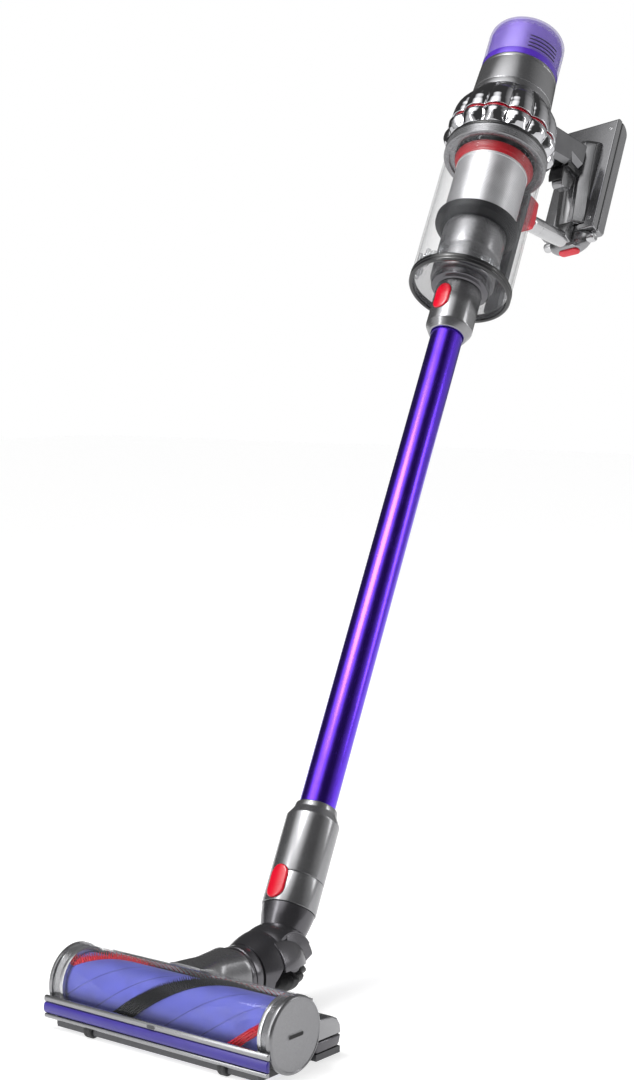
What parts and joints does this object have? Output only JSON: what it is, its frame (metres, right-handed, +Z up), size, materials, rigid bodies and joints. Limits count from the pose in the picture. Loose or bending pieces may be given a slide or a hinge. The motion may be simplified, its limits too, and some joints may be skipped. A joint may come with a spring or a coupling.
{
  "type": "cordless stick vacuum",
  "caption": "Cordless stick vacuum: motorised floor head, rolling neck, wand, clear bin with cyclones, filter, grip and slide-off battery",
  "frame": {"origin": "middle of the flat rest strip under the floor head, on the floor", "axes": "+Z up, +X along the brush towards the end cap with the coin lock, -Y towards the front of the head; the wand leans back towards +Y"},
  "size_m": [0.3251, 0.9339, 0.9497],
  "materials": {
    "silver_plastic": "metallised grey moulding, satin",
    "dark_plastic": "dark grey moulding, satin",
    "black_plastic": "black moulding",
    "red_plastic": "red moulding, gloss",
    "violet_aluminium": "violet anodised tube, gloss",
    "violet_plastic": "violet moulding, satin",
    "clear_plastic": "clear polycarbonate",
    "brush_fabric": "periwinkle blue brush bar",
    "red_bristle": "red nylon tufts",
    "black_bristle": "black carbon fibre tufts",
    "chrome": "vacuum metallised, mirror",
    "dark_chrome": "dark metallised grip, mirror",
    "steel_mesh": "fine perforated stainless sheet",
    "steel": "turned steel",
    "filter_shell": "translucent violet moulding",
    "filter_paper": "pleated white filter paper",
    "display_glass": "black cover lens",
    "hose_rubber": "ribbed black hose",
    "wheel_rubber": "black wheel"
  },
  "bodies": {
    "machine": {"bin_cylinder": "clear_plastic", "bin_lid_ring": "dark_plastic", "bin_lid_window": "clear_plastic", "inlet_collar": "dark_plastic", "inlet_duct": "silver_plastic", "shroud_skirt": "black_plastic", "shroud_mesh": "steel_mesh", "bin_seal": "red_plastic", "bin_top_ring": "silver_plastic", "cyclone_tier_lower": "chrome", "cyclone_gasket": "red_plastic", "cyclone_tier_upper": "chrome", "motor_housing": "silver_plastic", "motor_stator": "steel", "display_housing": "dark_plastic", "display_glass": "display_glass", "grip_arm": "dark_chrome", "handle_spine": "silver_plastic", "handle_strut": "silver_plastic", "bin_rail": "dark_plastic"},
    "trigger": {"trigger": "silver_plastic"},
    "bin_lever": {"bin_release_lever": "red_plastic"},
    "mode_button": {"mode_button": "silver_plastic"},
    "filter": {"filter_cap": "filter_shell", "filter_pleats": "filter_paper"},
    "rotor": {"motor_rotor": "steel"},
    "battery": {"battery_pack": "silver_plastic", "battery_latch_housing": "silver_plastic"},
    "battery_button": {"battery_release_button": "red_plastic"},
    "wand": {"wand_tube": "violet_aluminium", "wand_conduit": "black_plastic", "wand_lower_collar": "silver_plastic", "wand_upper_collar": "silver_plastic", "wand_spigot": "black_plastic"},
    "wand_button": {"wand_release_button": "red_plastic"},
    "neck": {"neck": "silver_plastic", "neck_spigot": "black_plastic"},
    "head_button": {"head_release_button": "red_plastic"},
    "knuckle": {"knuckle": "silver_plastic", "pivot_pin_left": "steel", "pivot_pin_right": "steel", "neck_hose": "hose_rubber"},
    "head": {"head_housing": "silver_plastic", "sole_plate": "dark_plastic", "clear_cover": "clear_plastic", "front_bumper": "violet_plastic", "front_trim_rail": "silver_plastic", "end_plate_left": "silver_plastic", "brush_motor": "steel", "detangling_comb": "red_plastic", "duct_saddle": "silver_plastic", "roll_collar": "dark_plastic"},
    "brush": {"brush_core": "brush_fabric", "bristle_strip_red": "red_bristle", "bristle_strip_black": "black_bristle"},
    "end_cap": {"end_cap_right": "silver_plastic"},
    "front_wheel_left": {"front_wheel_left": "wheel_rubber"},
    "front_wheel_right": {"front_wheel_right": "wheel_rubber"},
    "rear_wheel_left": {"rear_wheel_left": "wheel_rubber"},
    "rear_wheel_right": {"rear_wheel_right": "wheel_rubber"}
  },
  "joints": [
    {"name": "wand_release", "type": "slide", "parent": "machine", "child": "wand", "axis": [0.144, -0.5821, -0.8003], "range_m": [0, 0.06]},
    {"name": "head_release", "type": "slide", "parent": "wand", "child": "neck", "axis": [0.144, -0.5821, -0.8003], "range_m": [0, 0.045]},
    {"name": "neck_pitch", "type": "hinge", "parent": "neck", "child": "knuckle", "pos_m": [0, 0.0824, 0.0438], "axis": [0.9842, 0, 0.1771], "range_deg": [-31, 50], "deforming": ["neck_hose"]},
    {"name": "neck_roll", "type": "hinge", "parent": "knuckle", "child": "head", "pos_m": [0, 0.0824, 0.0438], "axis": [0, 1, 0], "range_deg": [-85, 65]},
    {"name": "brush_spin", "type": "hinge", "parent": "head", "child": "brush", "pos_m": [0, -0.04, 0.0356], "axis": [1, 0, 0], "continuous": true},
    {"name": "end_cap_turn", "type": "hinge", "parent": "head", "child": "end_cap", "pos_m": [0.119, -0.04, 0.0356], "axis": [1, 0, 0], "range_deg": [0, 45]},
    {"name": "wand_button_press", "type": "slide", "parent": "wand", "child": "wand_button", "axis": [0.1031, 0.8131, -0.5729], "range_m": [0, 0.0022], "stiffness_N_per_m": 1500, "springref_m": -0.002},
    {"name": "head_button_press", "type": "slide", "parent": "neck", "child": "head_button", "axis": [0.1031, 0.8131, -0.5729], "range_m": [0, 0.0022], "stiffness_N_per_m": 1500, "springref_m": -0.002},
    {"name": "trigger_pull", "type": "slide", "parent": "machine", "child": "trigger", "axis": [-0.144, 0.5821, 0.8003], "range_m": [0, 0.004], "stiffness_N_per_m": 1000, "springref_m": -0.002},
    {"name": "bin_lever_slide", "type": "slide", "parent": "machine", "child": "bin_lever", "axis": [0.144, -0.5821, -0.8003], "range_m": [0, 0.012], "stiffness_N_per_m": 300, "springref_m": -0.004},
    {"name": "filter_twist", "type": "hinge", "parent": "machine", "child": "filter", "pos_m": [-0.15479, 0.70818, 0.90407], "axis": [-0.144, 0.5821, 0.8003], "range_deg": [0, 30]},
    {"name": "rotor_spin", "type": "hinge", "parent": "machine", "child": "rotor", "pos_m": [-0.14716, 0.67733, 0.86166], "axis": [-0.144, 0.5821, 0.8003], "continuous": true},
    {"name": "battery_slide", "type": "slide", "parent": "machine", "child": "battery", "axis": [0.144, -0.5821, -0.8003], "range_m": [0, 0.06]},
    {"name": "battery_button_press", "type": "slide", "parent": "battery", "child": "battery_button", "axis": [-0.144, 0.5821, 0.8003], "range_m": [0, 0.002], "stiffness_N_per_m": 1200, "springref_m": -0.002},
    {"name": "mode_button_press", "type": "slide", "parent": "machine", "child": "mode_button", "axis": [0.144, -0.5821, -0.8003], "range_m": [0, 0.001], "stiffness_N_per_m": 1500, "springref_m": -0.001},
    {"name": "front_wheel_left_roll", "type": "hinge", "parent": "head", "child": "front_wheel_left", "pos_m": [-0.075, -0.069, 0.007], "axis": [1, 0, 0], "continuous": true},
    {"name": "front_wheel_right_roll", "type": "hinge", "parent": "head", "child": "front_wheel_right", "pos_m": [0.075, -0.069, 0.007], "axis": [1, 0, 0], "continuous": true},
    {"name": "rear_wheel_left_roll", "type": "hinge", "parent": "head", "child": "rear_wheel_left", "pos_m": [-0.095, 0.01, 0.0085], "axis": [1, 0, 0], "continuous": true},
    {"name": "rear_wheel_right_roll", "type": "hinge", "parent": "head", "child": "rear_wheel_right", "pos_m": [0.095, 0.01, 0.0085], "axis": [1, 0, 0], "continuous": true}
  ]
}
